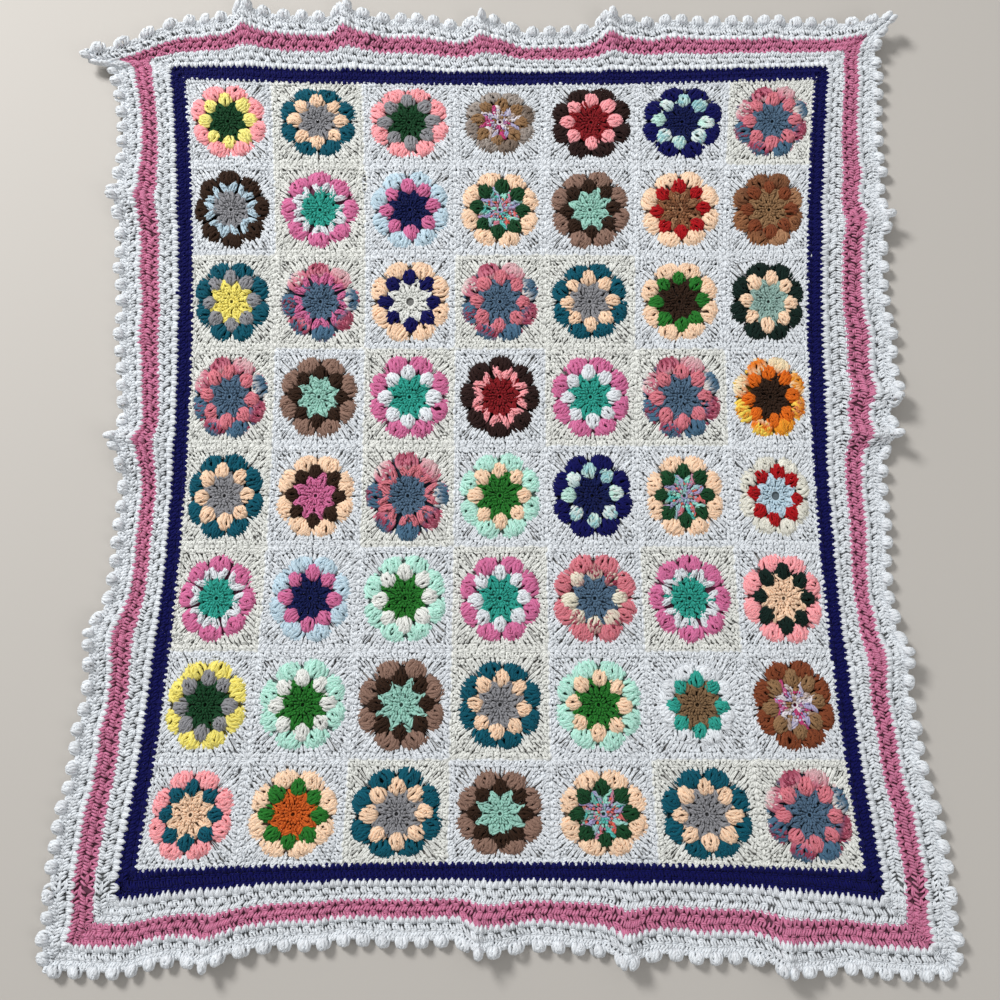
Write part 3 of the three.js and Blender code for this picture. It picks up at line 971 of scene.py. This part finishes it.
# Crocheted balls along the outermost round, with low bumps between them
def addEdging(skein, yarn, side, facing, outer):
    half = halfSide(side) + outer
    count = round(2 * half / edging["spacing"])
    ballFoot, bumpFoot = (outer - overlap for overlap in edging["overlap"])
    for j in range(count):
        along = -half + (j + 0.5) * 2 * half / count
        foot = sidePoints(side, along, ballFoot)
        puff(skein, foot, math.radians(facing), edging["ball"], yarn, 0,
             strands=5, crown=0, flecks=7, plump=0.92, foot=0.24)
        foot = sidePoints(side, along + half / count, bumpFoot)
        puff(skein, foot, math.radians(facing), edging["bump"], yarn, 0,
             strands=4, crown=0, flecks=3, plump=0.7, foot=0.2)


# The backing cloth of a band, coloured in painted shade, all the way round, with its eyelets left open
def bandWeb(band, offset, depth, outer):
    columns = []
    for side in sideMakers:
        count = round(2 * halfSide(side) / bandShape["stitchWidth"])
        edges = np.stack([np.arange(count), np.arange(count) + 0.3], 1).reshape(-1) / count * 2 - 1
        columns += [(side, share) for share in edges]
    levels = []
    for k in range(len(band["rounds"])):
        levels += [offset + k * depth, offset + (k + 0.25) * depth, offset + (k + 0.6) * depth]
    levels.append(outer)
    points = np.array([[sidePoints(side, share * (halfSide(side) + level), level, bandShape["cloth"])
                        for side, share in columns] for level in levels])
    keep = np.ones((len(levels) - 1, len(columns)), bool)
    gap = np.arange(len(columns)) % 2 == 0
    for k in band["holes"]:
        keep[3 * k, gap] = False
    yarnOf = np.full(keep.shape, band["yarn"], dtype=object)
    return layWeb(f"{band['node']}_web", points, keep, yarnOf)


offset = bandShape["start"]
for band in bands:
    print(band["node"])
    node = band["node"]
    depth = (band["width"] - bandShape["gap"]) / len(band["rounds"])
    outer = offset + band["width"] - bandShape["gap"]
    for side, facing in zip(sideMakers, (0, 90, 180, 270)):
        skein = bandSide(band, side, offset, depth)
        if band is bands[-1]:
            addEdging(skein, band["yarn"], side, facing, outer)
        stitches = spin(f"{node}_{side}_stitches", skein)
        settle(stitches, node)
    web = bandWeb(band, offset, depth, outer)
    settle(web, node)
    offset += band["width"]

print("stage")
studio = {
    "floorHalf": 6,
    "floorHeight": -0.4 * mm,
    "floorColour": (0.55, 0.52, 0.48, 1),
    "floorRoughness": 0.7,
    "surround": 0.37,
    "key": {"place": (-2.6, 2.6, 3.4), "power": 202, "size": 1.2},
    "fill": {"place": (2.4, -1.6, 2.6), "power": 20, "size": 2.0},
}
corners = [(-1, -1), (1, -1), (1, 1), (-1, 1)]
floorMesh = bpy.data.meshes.new("floor")
floorMesh.from_pydata([(x * studio["floorHalf"], y * studio["floorHalf"], studio["floorHeight"])
                       for x, y in corners], [], [(0, 1, 2, 3)])
floor = linked("floor", floorMesh)
paint = bpy.data.materials.new("paleFloor")
paint.use_nodes = True
paintShader = paint.node_tree.nodes["Principled BSDF"]
paintShader.inputs["Base Color"].default_value = studio["floorColour"]
paintShader.inputs["Roughness"].default_value = studio["floorRoughness"]
floorMesh.materials.append(paint)

scene = bpy.context.scene
scene.view_settings.view_transform = "Standard"
world = bpy.data.worlds.new("studio")
scene.world = world
world.use_nodes = True
backdrop = world.node_tree.nodes["Background"]
backdrop.inputs["Color"].default_value = (1, 1, 1, 1)
backdrop.inputs["Strength"].default_value = studio["surround"]
for name in ("key", "fill"):
    light = bpy.data.lights.new(name, "AREA")
    light.energy, light.size = studio[name]["power"], studio[name]["size"]
    lamp = bpy.data.objects.new(name, light)
    scene.collection.objects.link(lamp)
    lamp.location = studio[name]["place"]
    lamp.rotation_euler = (-lamp.location).to_track_quat("-Z", "Y").to_euler()

print("camera")
# foot and target are measured from the panel's middle, along Y
view = {"foot": -0.3694, "height": 1.54, "target": -0.0857, "lens": 36, "sensor": 36}
camera = bpy.data.cameras.new("camera")
camera.lens, camera.sensor_width = view["lens"], view["sensor"]
eye = bpy.data.objects.new("camera", camera)
scene.collection.objects.link(eye)
eye.location = (panelMiddle[0], panelMiddle[1] + view["foot"], view["height"])
down = Vector((panelMiddle[0], panelMiddle[1] + view["target"], 0)) - eye.location
eye.rotation_euler = down.to_track_quat("-Z", "Y").to_euler()
scene.camera = eye
